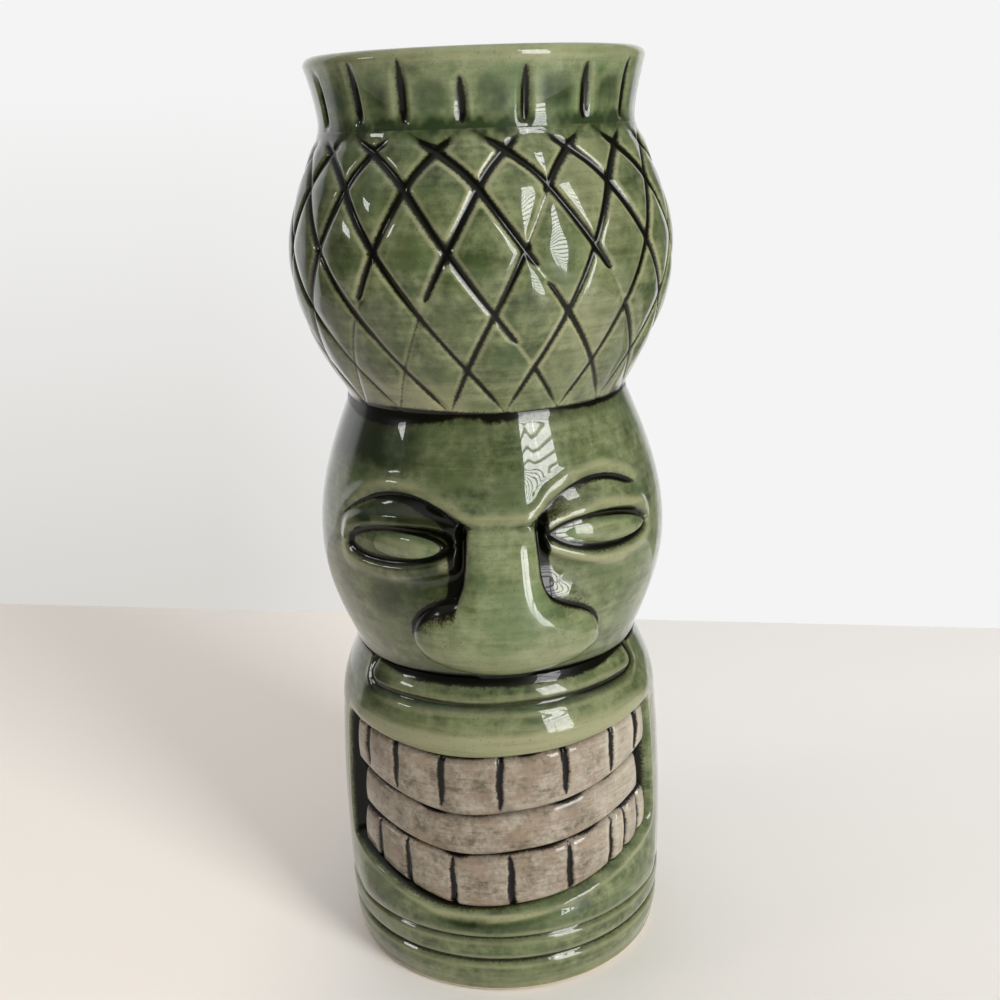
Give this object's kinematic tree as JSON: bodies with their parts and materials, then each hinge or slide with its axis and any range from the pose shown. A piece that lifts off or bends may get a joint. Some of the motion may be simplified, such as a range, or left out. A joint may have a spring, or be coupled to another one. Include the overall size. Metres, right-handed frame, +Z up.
{
  "type": "tiki vase",
  "caption": "Hollow glazed ceramic vase in stacked tiers: grooved foot, toothed mouth, head with brow, eyes and nose, lattice-cut crown and a flared, notched collar open at the top.",
  "frame": {"origin": "middle of the foot ring's underside, on the vase's axis, on the surface it stands on", "axes": "+Z up along the vase's axis, the face looks towards -Y, +X towards the viewer's right"},
  "size_m": [0.0927, 0.0928, 0.23],
  "materials": {
    "green_glaze": "glossy clear glaze over brushed sage green underglaze, darker where it pools",
    "pale_green_glaze": "glossy clear glaze over thin sage green underglaze, tan at the edges",
    "tooth_glaze": "glossy clear glaze over brushed beige and taupe wash"
  },
  "bodies": {
    "root": {"foot": "green_glaze", "mouth_tier": "green_glaze", "lower_teeth": "tooth_glaze", "tongue": "tooth_glaze", "upper_teeth": "tooth_glaze", "lip_ledge": "green_glaze", "head": "green_glaze", "brow": "green_glaze", "nose": "pale_green_glaze", "left_eye": "green_glaze", "right_eye": "green_glaze", "crown": "green_glaze", "collar": "pale_green_glaze"}
  },
  "joints": []
}
